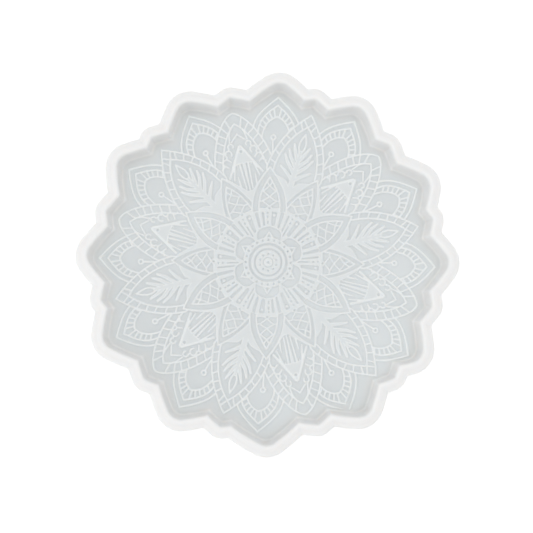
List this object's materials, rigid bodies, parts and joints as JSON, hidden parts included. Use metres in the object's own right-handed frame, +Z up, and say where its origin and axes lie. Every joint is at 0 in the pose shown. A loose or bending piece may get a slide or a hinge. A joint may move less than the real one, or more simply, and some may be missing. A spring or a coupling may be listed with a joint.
{
  "type": "resin casting mould",
  "caption": "Shallow open silicone tray mould with a scalloped rounded rim and a raised petal mandala on its floor, for casting a resin coaster",
  "frame": {"origin": "centre of the underside, on the surface the mould rests on", "axes": "+Z up, out of the open side; the first big lobe pair is between +X and +Y"},
  "size_m": [0.1102, 0.1108, 0.01],
  "materials": {
    "silicone_floor": "thin translucent white silicone with a cool grey cast, satin",
    "silicone_wall": "thick milky white silicone, satin",
    "silicone_relief": "raised translucent white silicone, satin"
  },
  "bodies": {
    "root": {"back_lattice_petal_0": "silicone_relief", "back_lattice_petal_1": "silicone_relief", "back_lattice_petal_2": "silicone_relief", "back_lattice_petal_3": "silicone_relief", "back_lattice_petal_4": "silicone_relief", "back_lattice_petal_5": "silicone_relief", "centre_boss": "silicone_relief", "centre_ring": "silicone_relief", "dotted_ring": "silicone_relief", "floor_sheet": "silicone_floor", "front_lattice_petal_0": "silicone_relief", "front_lattice_petal_1": "silicone_relief", "front_lattice_petal_2": "silicone_relief", "front_lattice_petal_3": "silicone_relief", "front_lattice_petal_4": "silicone_relief", "front_lattice_petal_5": "silicone_relief", "leaf_feather_0": "silicone_relief", "leaf_feather_1": "silicone_relief", "leaf_feather_2": "silicone_relief", "leaf_feather_3": "silicone_relief", "leaf_feather_4": "silicone_relief", "leaf_feather_5": "silicone_relief", "leaf_petal_0": "silicone_relief", "leaf_petal_1": "silicone_relief", "leaf_petal_2": "silicone_relief", "leaf_petal_3": "silicone_relief", "leaf_petal_4": "silicone_relief", "leaf_petal_5": "silicone_relief", "perimeter_wall": "silicone_wall", "pointed_petal_a_0": "silicone_relief", "pointed_petal_a_1": "silicone_relief", "pointed_petal_a_2": "silicone_relief", "pointed_petal_a_3": "silicone_relief", "pointed_petal_a_4": "silicone_relief", "pointed_petal_a_5": "silicone_relief", "pointed_petal_b_0": "silicone_relief", "pointed_petal_b_1": "silicone_relief", "pointed_petal_b_2": "silicone_relief", "pointed_petal_b_3": "silicone_relief", "pointed_petal_b_4": "silicone_relief", "pointed_petal_b_5": "silicone_relief", "ray_ring": "silicone_relief", "scroll_petal_0": "silicone_relief", "scroll_petal_1": "silicone_relief", "scroll_petal_2": "silicone_relief", "scroll_petal_3": "silicone_relief", "scroll_petal_4": "silicone_relief", "scroll_petal_5": "silicone_relief", "scroll_spear_0": "silicone_relief", "scroll_spear_1": "silicone_relief", "scroll_spear_2": "silicone_relief", "scroll_spear_3": "silicone_relief", "scroll_spear_4": "silicone_relief", "scroll_spear_5": "silicone_relief"}
  },
  "joints": []
}
